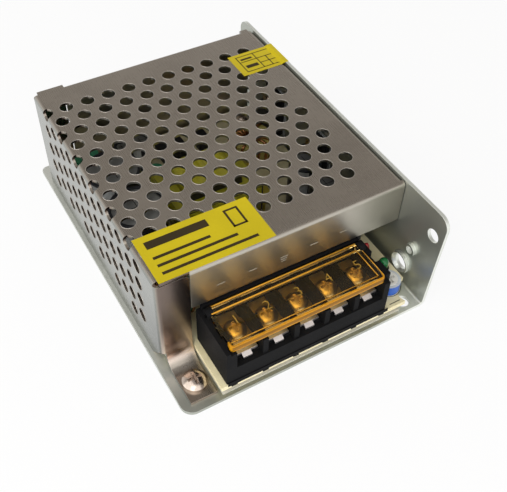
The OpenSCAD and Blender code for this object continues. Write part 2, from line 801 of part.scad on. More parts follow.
module safety_capacitors() {
  for (x = [-2, 7]) on_board(transformer_at[0] + x, in_f + 54.4) {
    color([0.16, 0.36, 0.66]) translate([0, 0, 6]) rotate([90, 0, 0])
      cylinder(d = 7.5, h = 3, center = true);
    color([0.75, 0.75, 0.75]) for (s = [-1, 1]) translate([s * 2, 0, 0])
      cylinder(d = 0.7, h = 3.6);
  }
}

// Transformer: flat ferrite frame, winding upright round its middle leg
snubber_reach = 4.7;
transformer_at = [
  (in_l + bulk_gap + bulk_d + out_cap_x - out_cap_d / 2 - snubber_reach) / 2, in_f + 41
];
core_w = 22;
core_t = 10;
leg_out = 4.6;
leg_mid = 7.4;
yoke = 4.2;
core_z = 5.6;
window_w = (core_l - 2 * leg_out - leg_mid) / 2;
window_l = core_w - 2 * yoke;
module transformer_core() {
  color([0.16, 0.16, 0.17]) on_board(transformer_at[0], transformer_at[1])
    translate([0, 0, core_z]) linear_extrude(core_t) difference() {
      square([core_l, core_w], center = true);
      for (s = [-1, 1]) translate([s * (leg_mid + window_w) / 2, 0])
        square([window_w, window_l], center = true);
    }
}

module transformer_bobbin() {
  wall = 0.8;
  tube = [leg_mid + 0.4 + 2 * wall, core_t + 0.4 + 2 * wall];
  z0 = core_z + core_t / 2;
  color([0.13, 0.12, 0.12]) on_board(transformer_at[0], transformer_at[1]) {
    // Tube round the middle leg, with an end flange at each yoke
    translate([0, window_l / 2 - 0.2, z0]) rotate([90, 0, 0]) linear_extrude(window_l - 0.4)
      difference() {
        square(tube, center = true);
        square([leg_mid + 0.4, core_t + 0.4], center = true);
      }
    for (s = [-1, 1]) translate([0, s * (window_l / 2 - 0.6), z0]) rotate([90, 0, 0])
      linear_extrude(0.8, center = true) difference() {
        square([core_l - 2 * leg_out - 0.4, core_t + 9.6], center = true);
        square([tube[0] - eps, tube[1] - eps], center = true);
      }
    // Pin rails under the yokes
    for (s = [-1, 1]) translate([-10.5, s * (core_w / 2 - 2.4) - 2.1, 0])
      cube([21, 4.2, core_z]);
  }
}

module transformer_winding() {
  wall = 0.8;
  inner = [leg_mid + 0.4 + 2 * wall, core_t + 0.4 + 2 * wall];
  color([0.93, 0.8, 0.05]) on_board(transformer_at[0], transformer_at[1])
    translate([0, (window_l - 2.4) / 2, core_z + core_t / 2]) rotate([90, 0, 0])
      linear_extrude(window_l - 2.4) difference() {
        round_rect(core_l - 2 * leg_out - 0.8, core_t + 8.8, 2.4);
        square(inner + [0.05, 0.05], center = true);
      }
}

// Three-legged power device standing against the wall
module power_device(y) {
  face = wall_in - pad_t;
  hole_up = device_hole_z - board_top;
  translate([face, y, board_top]) {
    color([0.1, 0.1, 0.1])
      span([-4.5, -device_w / 2, device_stand], [0, device_w / 2, device_stand + 9.2]);
    color([0.78, 0.78, 0.78]) difference() {
      span([-tab_t, -device_w / 2, device_stand + 9.2 - eps],
           [0, device_w / 2, device_stand + 15.6]);
      translate([0, 0, hole_up]) rotate([0, 90, 0])
        cylinder(d = device_screw_d + 0.3, h = 9, center = true);
    }
    color([0.78, 0.78, 0.78]) for (i = [-1, 0, 1])
      translate([-2.4, i * 2.54 - 0.4, 0]) cube([0.6, 0.8, device_stand + eps]);
  }
}

module switch_transistor() { power_device(switch_y); }
module output_rectifier() { power_device(rectifier_y); }

module insulating_pads() {
  color([0.7, 0.72, 0.74]) for (y = [rectifier_y, switch_y])
    translate([wall_in - pad_t, y, board_top]) difference() {
      span([0, -device_w / 2 - 1, device_stand - 0.8],
           [pad_t, device_w / 2 + 1, device_stand + 16.2]);
      translate([0, 0, device_hole_z - board_top]) rotate([0, 90, 0])
        cylinder(d = device_screw_d + 0.3, h = 9, center = true);
    }
}

module transistor_screws() {
  color([0.75, 0.76, 0.76]) for (y = [rectifier_y, switch_y]) on_wall(y, device_hole_z)
    flush_screw(device_screw_d, base_t + pad_t + tab_t + 3);
}

module transistor_nuts() {
  nut_t = 2.4;
  color([0.75, 0.76, 0.76]) for (y = [rectifier_y, switch_y]) on_wall(y, device_hole_z)
    translate([0, 0, -base_t - pad_t - tab_t - nut_t]) difference() {
      cylinder(d = 6.3, h = nut_t, $fn = 6);
      translate([0, 0, -1]) cylinder(d = device_screw_d, h = nut_t + 2);
    }
}

module output_capacitors() {
  color([0.08, 0.1, 0.12]) for (i = [0 : 2])
    on_board(out_cap_x, in_f + 7 + i * (out_cap_d + 1.2)) can(out_cap_d, out_cap_h);
}

inductor_at = [wall_in - 13.6, in_b - 24];
inductor_mid_r = 5;
inductor_section = [3.6, 6.5];
module inductor_core() {
  color([0.85, 0.83, 0.7]) on_board(inductor_at[0], inductor_at[1])
    translate([0, 0, wire_t + inductor_section[1] / 2]) rotate_extrude()
      translate([inductor_mid_r, 0]) ring_section(inductor_section[0], inductor_section[1]);
}

module inductor_winding() {
  color([0.75, 0.4, 0.18]) on_board(inductor_at[0], inductor_at[1])
    translate([0, 0, wire_t + inductor_section[1] / 2]) rotate(30)
      rotate_extrude(angle = 300) translate([inductor_mid_r, 0]) difference() {
        ring_section(inductor_section[0] + 2 * wire_t, inductor_section[1] + 2 * wire_t);
        ring_section(inductor_section[0] + 0.1, inductor_section[1] + 0.1);
      }
}

// Chip with two rows of legs, seated on the board
module dual_inline(l, legs) {
  color([0.09, 0.09, 0.1]) difference() {
    translate([-l / 2, -3.2, 0.5]) cube([l, 6.4, 3.3]);
    translate([-l / 2, 0, 3.5]) cylinder(r = 0.8, h = 1);
  }
  color([0.78, 0.78, 0.78]) for (i = [0 : legs - 1], s = [-1, 1])
    translate([(i - (legs - 1) / 2) * 2.54 - 0.4, s * 3.45 - 0.25, 0]) cube([0.8, 0.5, 2.2]);
}

module control_chip() { on_board(transformer_at[0] + 3, in_b - 12) dual_inline(9.4, 4); }
module optocoupler() { on_board(transformer_at[0] + 14, in_b - 12) dual_inline(4.6, 2); }

module small_capacitors() {
  color([0.1, 0.16, 0.22]) {
    on_board(middle_x + 10, in_f + 15.5) can(8, 12);
    on_board(transformer_at[0] - 8, in_b - 12) can(6.3, 11);
    on_board(transformer_at[0] - 14.3, in_b - 12) can(5, 11);
  }
}

module snubber_capacitors() {
  for (y = [in_f + 36, in_f + 46]) on_board(transformer_at[0] + core_l / 2 + snubber_reach - 1.5, y)
    color([0.72, 0.5, 0.28]) translate([0, 0, 5.5]) {
      rotate([0, 90, 0]) cylinder(d = 7, h = 3, center = true);
      for (s = [-1, 1]) translate([0, s * 2, -5.5]) cylinder(d = 0.7, h = 3);
    }
}

// Upright resistors, each standing on one leg
module power_resistors() {
  spots = [
    [transformer_at[0] - 10, in_f + 54.6], [in_l + 4.5, in_b - 13], [in_l + 10, in_b - 13]
  ];
  color([0.2, 0.5, 0.36]) for (p = spots) on_board(p[0], p[1]) {
    translate([0, 0, 1]) cylinder(d = 4.6, h = 12);
    cylinder(d = 0.8, h = 2);
  }
}

// ---------- labels ----------

module front_label() {
  color([0.93, 0.78, 0.05]) translate([cov_l + fold_r, cov_f + 0.3, cov_top])
    cube([front_label_size[0], front_label_size[1], label_t]);
}

// Folded over the top of the wall and down its outside
module date_label() {
  y0 = cov_b - 11.6 - date_label_l;
  color([0.93, 0.86, 0.1]) translate([0, y0 + date_label_l, 0]) rotate([90, 0, 0])
    linear_extrude(date_label_l) {
      translate([x_right - date_label_w, cov_top])
        square([date_label_w - base_t - wall_gap - fold_r, label_t]);
      polygon([
        [cov_r - fold_r - eps, cov_top], [wall_in, case_h], [x_right + label_t, case_h],
        [x_right + label_t, case_h + label_t], [wall_in - 0.1, case_h + label_t],
        [cov_r - fold_r - eps, cov_top + label_t]
      ]);
      translate([x_right, case_h - date_label_fold]) square([label_t, date_label_fold + eps]);
    }
}

base_chassis();
mesh_cover();
foot_screw();
cover_screws();
insulation_sheet();
circuit_board();
board_screws();
terminal_block();
terminal_contacts();
terminal_lid();
clamp_plate_1();
clamp_plate_2();
clamp_plate_3();
clamp_plate_4();
clamp_plate_5();
terminal_screw_1();
terminal_screw_2();
terminal_screw_3();
terminal_screw_4();
terminal_screw_5();
trimmer_body();
trimmer_rotor();
status_led();
input_fuse();
inrush_thermistor();
choke_core();
choke_windings();
film_capacitor();
bridge_rectifier();
bulk_capacitors();
safety_capacitors();
transformer_core();
transformer_bobbin();
transformer_winding();
switch_transistor();
output_rectifier();
insulating_pads();
transistor_screws();
transistor_nuts();
output_capacitors();
inductor_core();
inductor_winding();
control_chip();
optocoupler();
small_capacitors();
snubber_capacitors();
power_resistors();
front_label();
date_label();
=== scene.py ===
"""Looks for an enclosed switching power supply with a punched cover and a screw terminal block.

Everything is in metres, +Z up, with the terminals at -Y and the tall wall at +X. Every place is
worked out from the parts' own boxes and the named sizes below.
"""
import math

import bpy
import numpy as np
from mathutils import Matrix, Vector


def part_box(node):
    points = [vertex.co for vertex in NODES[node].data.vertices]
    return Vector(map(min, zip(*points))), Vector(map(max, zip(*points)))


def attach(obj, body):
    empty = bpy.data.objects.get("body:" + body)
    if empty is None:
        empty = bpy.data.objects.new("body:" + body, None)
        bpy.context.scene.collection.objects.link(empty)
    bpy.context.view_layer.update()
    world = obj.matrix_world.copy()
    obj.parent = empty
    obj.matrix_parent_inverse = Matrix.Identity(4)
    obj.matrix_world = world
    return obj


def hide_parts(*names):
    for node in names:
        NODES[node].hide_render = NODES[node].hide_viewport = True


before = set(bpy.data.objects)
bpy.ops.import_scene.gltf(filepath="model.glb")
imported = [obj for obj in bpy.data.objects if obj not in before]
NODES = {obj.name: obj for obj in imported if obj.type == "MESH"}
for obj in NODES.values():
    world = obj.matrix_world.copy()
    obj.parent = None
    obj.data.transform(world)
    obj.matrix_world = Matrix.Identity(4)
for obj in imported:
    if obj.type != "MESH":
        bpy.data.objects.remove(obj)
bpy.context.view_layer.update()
MM = 0.001
RIGHT, BACK, UP = (1, 0, 0), (0, 1, 0), (0, 0, 1)

# Camera: degrees and metres, with a lens for a 36 mm wide sensor
CAMERA_AZIMUTH, CAMERA_ELEVATION, CAMERA_ROLL = -31.5, 47.9, 1.95
CAMERA_AT = (-0.0795, -0.1500, 0.1824)
CAMERA_LENS = 55.95

# Floor and lamps, in metres, and how far the floor shows as plain white
FLOOR_HALF, FLOOR_WHITE = 4.0, 0.86
LAMP_SIZE, LAMP_TARGET = 0.9, (0, 0, 0.01)

# Sizes that the pieces below share with the part, in metres
WAYS = 5
BASE_T, FOOT_L, LEG_W = 1.0 * MM, 14.1 * MM, 9.3 * MM
HOLE_D, HOLE_PITCH = 4.15 * MM, 6.7 * MM
END_MARGIN, SIDE_MARGIN, WALL_MARGIN = 10.5 * MM, 7 * MM, 8 * MM
LID_TAB, LID_W, LID_BORDER = 0.5 * MM, 47.5 * MM, 1.6 * MM
LID_RELIEF, LID_LIP_GAP = 0.25 * MM, 0.2 * MM
COIL_WIRE = 0.5 * MM

# Faces round a thin ring, a wire and a turned surface
RING_SIDES, WIRE_SIDES, ROUND_TURNS = 6, 8, 32

# Sizes of the thin trim, in metres
RIM_WIRE = 0.09 * MM
LID_RIDGE, LID_FRONT_LINE = 2.7 * MM, 1.4 * MM
RIM_TURN, RIM_PROUD, RIM_DEPTH = 1.0 * MM, 0.05 * MM, 0.45 * MM
DIGIT_SIZE, DIGIT_BACK = 4.4 * MM, 6.0 * MM
MARK_Z = 26.2 * MM
LEAD_WIRE, LEAD_HEIGHT = 0.55 * MM, 9.2 * MM
WRAP_TURN, WRAP_PROUD = 1.0 * MM, 0.12 * MM
STRIPE_ARC = (200, 250)  # degrees


# ---------- places ----------

COVER_LO, COVER_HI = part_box("mesh_cover")
COVER_L, COVER_R, COVER_TOP = COVER_LO.x, COVER_HI.x, COVER_HI.z
COVER_F, COVER_B = COVER_LO.y + FOOT_L, COVER_HI.y
BOARD_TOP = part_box("circuit_board")[1].z
LID_LO, LID_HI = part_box("terminal_lid")


def bay_x(i):
    """X of terminal i, counted from 1 at the left."""
    lo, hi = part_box(f"clamp_plate_{i}")
    return (lo.x + hi.x) / 2


# ---------- shader helpers ----------

def set_stops(ramp, stops):
    """A colour ramp node's stops, as (place, (r, g, b))."""
    elements = ramp.color_ramp.elements
    while len(elements) < len(stops):
        elements.new(0.5)
    for element, (place, rgb) in zip(elements, stops):
        element.position = place
        element.color = (*rgb, 1.0)


class Paint:
    """One material: a Principled shader, with helpers that add pattern nodes to it."""

    def __init__(self, name, colour, roughness, metallic=0.0, **sockets):
        self.material = bpy.data.materials.new(name)
        self.material.use_nodes = True
        self.tree = self.material.node_tree
        self.shader = self.tree.nodes["Principled BSDF"]
        self.colour = (*colour, 1.0)
        self.set(self.shader, "Base Color", self.colour)
        self.set(self.shader, "Roughness", roughness)
        self.set(self.shader, "Metallic", metallic)
        for socket, value in sockets.items():
            self.set(self.shader, socket.replace("_", " "), value)
        own = self.tree.nodes.new("ShaderNodeTexCoord").outputs
        self.coordinates, self.normals = own["Object"], own["Normal"]
        self.height = None

    def set(self, node, socket, value):
        node.inputs[socket].default_value = value

    def link(self, output, node, socket):
        self.tree.links.new(output, node.inputs[socket])

    def new(self, kind, **values):
        node = self.tree.nodes.new("ShaderNode" + kind)
        for key, value in values.items():
            setattr(node, key, value)
        return node

    def stretched(self, scale):
        """Object coordinates scaled by a vector, in pattern cells for each metre."""
        mapping = self.new("Mapping")
        self.link(self.coordinates, mapping, "Vector")
        mapping.inputs["Scale"].default_value = scale
        return mapping.outputs["Vector"]

    def part(self, vector, axis):
        """One component of a vector."""
        node = self.new("SeparateXYZ")
        self.link(vector, node, "Vector")
        return node.outputs[axis]

    def facing(self, axis, sign=1):
        """1 where the surface faces along an axis, 0 beyond about 50 degrees from it."""
        return self.span(self.part(self.normals, axis), 0.62 * sign, 0.92 * sign, 0.0, 1.0)

    def beyond(self, axis, start, end):
        """0 at start and 1 at end along an axis, in metres."""
        return self.span(self.part(self.coordinates, axis), start, end, 0.0, 1.0)

    def both(self, first, second):
        """The product of two masks."""
        node = self.new("Math", operation="MULTIPLY")
        self.tree.links.new(first, node.inputs[0])
        self.tree.links.new(second, node.inputs[1])
        return node.outputs[0]

    def noise(self, scale, detail=3.0, rough=0.5):
        """Noise with one cell for each 1/scale metre; scale may be a vector."""
        node, vector = self.new("TexNoise"), self.coordinates
        if isinstance(scale, tuple):
            vector, scale = self.stretched(scale), 1.0
        self.link(vector, node, "Vector")
        self.set(node, "Scale", scale)
        self.set(node, "Detail", detail)
        self.set(node, "Roughness", rough)
        return node.outputs["Fac"]

    def ramp(self, value, stops):
        """A value turned into a colour by (place, (r, g, b)) stops."""
        node = self.new("ValToRGB")
        self.link(value, node, "Fac")
        set_stops(node, stops)
        return node.outputs["Color"]

    def span(self, value, low, high, out_low, out_high):
        """A value mapped from low..high to out_low..out_high, and held at both ends."""
        node = self.new("MapRange")
        self.link(value, node, "Value")
        for socket, number in zip(("From Min", "From Max", "To Min", "To Max"),
                                  (low, high, out_low, out_high)):
            self.set(node, socket, number)
        return node.outputs["Result"]

    def mix(self, share, first, second, blend="MIX"):
        """Two colours mixed; each is a socket or an (r, g, b) value."""
        node = self.new("Mix", data_type="RGBA", blend_type=blend)
        share_in, a_in, b_in = node.inputs[0], node.inputs[6], node.inputs[7]
        for value, socket in ((share, share_in), (first, a_in), (second, b_in)):
            if isinstance(value, bpy.types.NodeSocket):
                self.tree.links.new(value, socket)
            elif isinstance(value, tuple):
                socket.default_value = (*value, 1.0)
            else:
                socket.default_value = value
        return node.outputs[2]

    def tone(self, value, low, high):
        """The base colour made darker and lighter by a pattern."""
        factor = self.span(value, 0.3, 0.7, low, high)
        grey = self.new("CombineColor")
        for socket in ("Red", "Green", "Blue"):
            self.link(factor, grey, socket)
        base = self.shader.inputs["Base Color"]
        first = base.links[0].from_socket if base.links else self.colour[:3]
        self.link(self.mix(1.0, first, grey.outputs["Color"], "MULTIPLY"), self.shader,
                  "Base Color")
        return self

    def shine(self, value, low, high):
        """Roughness that a pattern moves from low to high."""
        self.link(self.span(value, 0.3, 0.7, low, high), self.shader, "Roughness")
        return self

    def bump(self, value, depth, strength):
        """Surface relief of a depth in metres; calls stack on each other."""
        node = self.new("Bump")
        self.set(node, "Distance", depth)
        self.set(node, "Strength", strength)
        self.link(value, node, "Height")
        if self.height is not None:
            self.link(self.height, node, "Normal")
        self.height = node.outputs["Normal"]
        self.link(self.height, self.shader, "Normal")
        return self

    def soft_edges(self, radius):
        """Edges that catch the light as if they were rounded by a radius in metres."""
        node = self.new("Bevel", samples=6)
        self.set(node, "Radius", radius)
        self.height = node.outputs["Normal"]
        self.link(self.height, self.shader, "Normal")
        return self


# ---------- materials ----------

def grey(value):
    """A value as an (r, g, b) colour."""
    return (value, value, value)


def rolled_sheet(paint, along, roughness):
    """Fine rolling lines along one axis, faint blotches and a few long scratches."""
    fine, coarse = 9000.0, 160.0
    lines = tuple(coarse if axis == along else fine for axis in "xyz")
    rolled = paint.noise(lines, 2.0)
    blotch = paint.noise(70.0, 4.0, 0.6)
    paint.tone(blotch, 0.94, 1.04)
    paint.shine(paint.mix(0.5, blotch, rolled), roughness - 0.04, roughness + 0.06)
    paint.bump(rolled, 0.004 * MM, 0.5)
    scratch = paint.noise((260.0, 5200.0, 5200.0), 1.0)
    paint.bump(paint.span(scratch, 0.67, 0.71, 0.0, 1.0), 0.005 * MM, 0.5)


def cover_sheet():
    """Punched cover: satin taupe top; a cooler side in painted shade, darker at its lower front; a
    paler front flange and a dark leg, lighter at its foot, as painted reflections.
    """
    # Tones of one sheet by face: the side is painted shade, the flange and the leg are painted
    # reflections
    top, side, flange, leg = ((0.405, 0.362, 0.310), (0.335, 0.345, 0.320),
                              (0.520, 0.490, 0.425), (0.205, 0.160, 0.138))
    leg_painted_reflection_low, front_side_painted_shade = (0.60, 0.48, 0.41), (0.165, 0.171, 0.159)
    paint = Paint("punched_cover_sheet", top, 0.27, metallic=1.0).soft_edges(0.12 * MM)
    sideways, forward = paint.facing("X", -1), paint.facing("Y", -1)
    legwards = paint.both(forward, paint.beyond("X", COVER_L + LEG_W + 0.2 * MM,
                                                COVER_L + LEG_W))
    # Painted shade: the side darkens towards its lower front
    side_painted_shade = paint.mix(paint.both(paint.beyond("Y", COVER_F + 22 * MM, COVER_F),
                                     paint.beyond("Z", 30 * MM, 12 * MM)), side, front_side_painted_shade)
    # Painted reflection: the leg lightens towards its foot
    leg_painted_reflection = paint.mix(paint.beyond("Z", 17 * MM, 7 * MM), leg, leg_painted_reflection_low)
    colour = paint.mix(sideways, top, side_painted_shade)
    colour = paint.mix(forward, colour, flange)
    paint.link(paint.mix(legwards, colour, leg_painted_reflection), paint.shader, "Base Color")
    rolled_sheet(paint, "y", 0.27)
    satin = paint.shader.inputs["Roughness"].links[0].from_socket
    duller = paint.mix(forward, satin, grey(0.34))
    paint.link(paint.mix(legwards, duller, grey(0.22)), paint.shader, "Roughness")
    return paint.material


def zinc_sheet(name, colour, wall, roughness):
    """Zinc plated base, paler and more matt than the cover; the wall and the front left of the
    plate get a darker colour as painted shade.
    """
    paint = Paint(name, colour, roughness, metallic=0.82).soft_edges(0.18 * MM)
    # Painted shade: the plate darkens to the wall colour towards the front left
    front = paint.both(paint.beyond("Y", COVER_F, COVER_F - 12 * MM),
                       paint.beyond("X", 33 * MM, 20 * MM))
    plate = paint.mix(front, colour, wall)
    # Painted shade: faces turned to -X, the wall's inner face among them, take the darker colour
    paint.link(paint.mix(paint.facing("X", -1), plate, wall), paint.shader, "Base Color")
    rolled_sheet(paint, "y", roughness)
    return paint.material


def plain_metal(name, colour, roughness, grain=1500.0):
    """Plated or drawn metal with a fine uneven shine and softened edges."""
    paint = Paint(name, colour, roughness, metallic=1.0).soft_edges(0.10 * MM)
    grains = paint.noise(grain, 3.0)
    return paint.tone(grains, 0.92, 1.05).shine(grains, roughness, roughness + 0.12).material


def plastic(name, colour, roughness, gloss=0.4):
    """Moulded plastic or lacquer with a fine grain in colour, shine and relief."""
    paint = Paint(name, colour, roughness, Specular_IOR_Level=gloss).soft_edges(0.12 * MM)
    grains = paint.noise(2600.0, 4.0, 0.6)
    clouds = paint.noise(130.0, 3.0)
    paint.tone(clouds, 0.88, 1.10).shine(grains, roughness - 0.05, roughness + 0.10)
    return paint.bump(grains, 0.01 * MM, 0.6).material


def trimmer_shell(name, colour, top):
    """Moulded blue body with a pale printed top."""
    paint = Paint(name, colour, 0.32).soft_edges(0.12 * MM)
    paint.link(paint.mix(paint.facing("Z"), colour, top), paint.shader, "Base Color")
    grains = paint.noise(2600.0, 4.0, 0.6)
    return paint.tone(paint.noise(200.0), 0.9, 1.08).bump(grains, 0.01 * MM, 0.6).material


def lens_and_base(name, lens, base, level):
    """A tinted clear lens above a level, and an opaque dark base under it."""
    paint = Paint(name, lens, 0.16, Transmission_Weight=0.35)
    share = paint.beyond("Z", level, level + 0.1 * MM)
    paint.link(paint.mix(share, base, lens), paint.shader, "Base Color")
    waves = paint.noise(500.0, 1.0)
    return paint.tone(waves, 0.9, 1.1).bump(waves, 0.01 * MM, 0.2).material


def taped_top(name, plain, tape, level):
    """A dark plain body with layers of tape over everything above a level."""
    paint = Paint(name, plain, 0.45).soft_edges(0.15 * MM)
    layers = paint.noise((700.0, 90.0, 700.0), 2.0)
    share = paint.both(paint.beyond("Z", level, level + 0.1 * MM), paint.facing("Z"))
    paint.link(paint.mix(share, plain, tape), paint.shader, "Base Color")
    return paint.tone(layers, 0.84, 1.06).bump(layers, 0.04 * MM, 0.5).material


def layered_tape(name, colour):
    """Polyester tape wound in layers: thin lines and a waxy shine."""
    paint = Paint(name, colour, 0.3, Coat_Weight=0.3, Coat_Roughness=0.2).soft_edges(0.2 * MM)
    layers = paint.noise((700.0, 90.0, 700.0), 2.0)
    paint.tone(layers, 0.82, 1.08).shine(layers, 0.24, 0.42)
    return paint.bump(layers, 0.05 * MM, 0.5).material


def clear_amber(name, colour, roughness):
    """Clear moulded plastic with slight flow marks."""
    paint = Paint(name, colour, roughness, Transmission_Weight=1.0, IOR=1.38,
                  Specular_IOR_Level=0.3)
    flow = paint.noise((60.0, 200.0, 200.0), 1.0)
    paint.shine(flow, roughness, roughness + 0.04)
    return paint.bump(flow, 0.006 * MM, 0.3).material


def glowing_amber(name, colour):
    """Raised lines and numbers of the clear lid as opaque orange: a painted glow for the light
    that the clear plastic gathers there.
    """
    paint = Paint(name, colour, 0.30, Specular_IOR_Level=0.12)
    flow = paint.noise((90.0, 500.0, 500.0), 2.0)
    return paint.tone(flow, 0.80, 1.12).bump(flow, 0.01 * MM, 0.3).material


def lid_edge(name, colour, face):
    """Front rim of the clear lid as opaque orange: a painted glow along its top and bottom, where
    the clear plastic gathers light, and a duller painted glow on the face between.
    """
    paint = Paint(name, colour, 0.26, Specular_IOR_Level=0.14)
    low = LID_LO.z + LID_LIP_GAP
    # Mask of the face between, which takes the duller painted glow
    middle = paint.both(paint.facing("Y", -1), paint.both(
        paint.beyond("Z", low + 0.35 * MM, low + 0.55 * MM),
        paint.beyond("Z", LID_HI.z - 0.25 * MM, LID_HI.z - 0.5 * MM)))
    paint.link(paint.mix(middle, colour, face), paint.shader, "Base Color")
    flow = paint.noise((90.0, 500.0, 500.0), 2.0)
    return paint.tone(flow, 0.84, 1.10).bump(flow, 0.01 * MM, 0.3).material


def laminate(name, colour):
    """Paper laminate board: short fibres, faint stains and a matt lacquer."""
    paint = Paint(name, colour, 0.42, Coat_Weight=0.25, Coat_Roughness=0.3)
    fibres = paint.noise((2600.0, 500.0, 900.0), 3.0, 0.6)
    stains = paint.noise(110.0, 4.0, 0.6)
    tinted = paint.ramp(stains, [(0.3, (0.72, 0.63, 0.36)), (0.6, colour),
                                 (0.8, (0.90, 0.84, 0.60))])
    paint.link(tinted, paint.shader, "Base Color")
    return paint.tone(fibres, 0.93, 1.05).bump(fibres, 0.02 * MM, 0.4).material


def printed_paper(name, colour):
    """Label stock: flat bright ink under a thin satin film."""
    paint = Paint(name, colour, 0.44, Coat_Weight=0.1, Coat_Roughness=0.4,
                  Specular_IOR_Level=0.2)
    fibres = paint.noise(1700.0, 4.0, 0.6)
    shade = paint.noise(60.0, 2.0)
    paint.tone(shade, 0.93, 1.04).tone(fibres, 0.97, 1.02).shine(fibres, 0.34, 0.46)
    return paint.bump(shade, 0.05 * MM, 0.3).bump(fibres, 0.008 * MM, 0.5).material


def glass(name, colour):
    """Clear glass or resin."""
    paint = Paint(name, colour, 0.06, Transmission_Weight=0.9, IOR=1.48)
    waves = paint.noise(500.0, 1.0)
    return paint.bump(waves, 0.02 * MM, 0.2).material


LOOKS = {
    "cover": cover_sheet(),
    # Zinc: the plain colour, then the darker colour used as painted shade
    "zinc": zinc_sheet("zinc_base_sheet", (0.80, 0.82, 0.76), (0.44, 0.46, 0.41), 0.36),
    "rim": plain_metal("sheared_rim", (0.52, 0.48, 0.43), 0.3),
    "screw": plain_metal("plated_screw", (0.56, 0.47, 0.40), 0.16),
    "tinned": plain_metal("tinned_brass", (0.70, 0.64, 0.58), 0.26, grain=500.0),
    "tongue": plain_metal("bright_tongue", (0.88, 0.82, 0.79), 0.34, grain=500.0),
    "black": plastic("moulded_black", (0.009, 0.009, 0.0095), 0.58, gloss=0.05),
    "package": plastic("epoxy_package", (0.016, 0.016, 0.017), 0.5, gloss=0.3),
    "amber": clear_amber("amber_lid", (1.0, 0.72, 0.25), 0.03),
    # Opaque orange for the lid's rim, lines and numbers: painted glow of light gathered in the
    # clear plastic
    "amber_rim_painted_glow": lid_edge("amber_lid_rim_painted_glow", (0.58, 0.26, 0.010), (0.26, 0.120, 0.012)),
    # Lines and numbers of the lid: painted glow of light gathered in the clear plastic
    "amber_line_painted_glow": glowing_amber("amber_lid_line_painted_glow", (0.66, 0.32, 0.03)),
    "amber_digit_painted_glow": glowing_amber("amber_lid_digit_painted_glow", (0.44, 0.25, 0.04)),
    "board": laminate("board_laminate", (0.86, 0.78, 0.50)),
    "board_ink": plastic("board_print", (0.045, 0.050, 0.025), 0.5),
    "mark": plastic("pressed_mark", (0.46, 0.42, 0.34), 0.4),
    "red": plastic("red_sleeve", (0.42, 0.03, 0.03), 0.35),
    "film": plastic("insulating_film", (0.66, 0.64, 0.56), 0.35),
    "blue": trimmer_shell("trimmer_blue", (0.03, 0.13, 0.56), (0.60, 0.64, 0.68)),
    "white": plastic("rotor_white", (0.80, 0.79, 0.74), 0.38),
    "led": lens_and_base("led_green", (0.02, 0.26, 0.07), (0.02, 0.02, 0.02),
                         BOARD_TOP + 1.2 * MM),
    "glass": glass("fuse_glass", (0.90, 0.93, 0.92)),
    "thermistor": plastic("thermistor_coat", (0.025, 0.060, 0.035), 0.4),
    "green_core": plastic("choke_core_green", (0.03, 0.16, 0.07), 0.4),
    "yellow_core": plastic("inductor_core_yellow", (0.62, 0.54, 0.17), 0.5),
    "copper": plain_metal("enamelled_copper", (0.46, 0.22, 0.09), 0.22),
    "film_yellow": plastic("film_capacitor_case", (0.62, 0.50, 0.05), 0.35),
    "sleeve": plastic("capacitor_sleeve", (0.018, 0.020, 0.024), 0.3),
    "stripe": plastic("sleeve_stripe", (0.42, 0.43, 0.42), 0.35),
    "can_top": plain_metal("can_aluminium", (0.34, 0.35, 0.35), 0.4),
    "ceramic_blue": plastic("ceramic_blue", (0.05, 0.15, 0.42), 0.3),
    # Ferrite: its top tape is darker than the winding's tape, painted shade for its lower place
    # under the cover
    "ferrite": taped_top("ferrite_grey", (0.035, 0.034, 0.036), (0.50, 0.46, 0.03),
                         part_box("transformer_core")[1].z - 0.4 * MM),
    "bobbin": taped_top("bobbin_black", (0.028, 0.026, 0.025), (0.62, 0.56, 0.03),
                        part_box("transformer_core")[1].z + 2 * MM),
    "tape": layered_tape("winding_tape", (0.66, 0.60, 0.03)),
    "pad": plastic("thermal_pad", (0.40, 0.42, 0.43), 0.6),
    "resistor": plastic("resistor_green", (0.05, 0.25, 0.13), 0.35),
    "label": printed_paper("yellow_label", (0.57, 0.45, 0.006)),
    "ink": plastic("label_ink", (0.036, 0.024, 0.007), 0.5, gloss=0.2),
}

NODE_LOOK = {
    "base_chassis": "zinc", "mesh_cover": "cover", "foot_screw": "screw",
    "cover_screws": "screw", "insulation_sheet": "film", "circuit_board": "board",
    "board_screws": "screw", "terminal_block": "black", "terminal_contacts": "tongue",
    "terminal_lid": "amber", "trimmer_body": "blue", "trimmer_rotor": "white",
    "status_led": "led", "input_fuse": "glass", "inrush_thermistor": "thermistor",
    "choke_core": "green_core", "choke_windings": "copper", "film_capacitor": "film_yellow",
    "bridge_rectifier": "package", "bulk_capacitors": "sleeve",
    "safety_capacitors": "ceramic_blue", "transformer_core": "ferrite",
    "transformer_bobbin": "bobbin", "transformer_winding": "tape",
    "switch_transistor": "package", "output_rectifier": "package",
    "insulating_pads": "pad", "transistor_screws": "screw", "transistor_nuts": "screw",
    "output_capacitors": "sleeve", "inductor_core": "yellow_core",
    "inductor_winding": "copper", "control_chip": "package", "optocoupler": "package",
    "small_capacitors": "sleeve", "snubber_capacitors": "film_yellow",
    "power_resistors": "resistor", "front_label": "label", "date_label": "label",
}
for way in range(1, WAYS + 1):
    NODE_LOOK[f"clamp_plate_{way}"] = "tinned"
    NODE_LOOK[f"terminal_screw_{way}"] = "tinned"
for node, look in NODE_LOOK.items():
    slots = NODES[node].data.materials
    for index in range(max(len(slots), 1)):
        if index < len(slots):
            slots[index] = LOOKS[look]
        else:
            slots.append(LOOKS[look])


# ---------- surfaces ----------

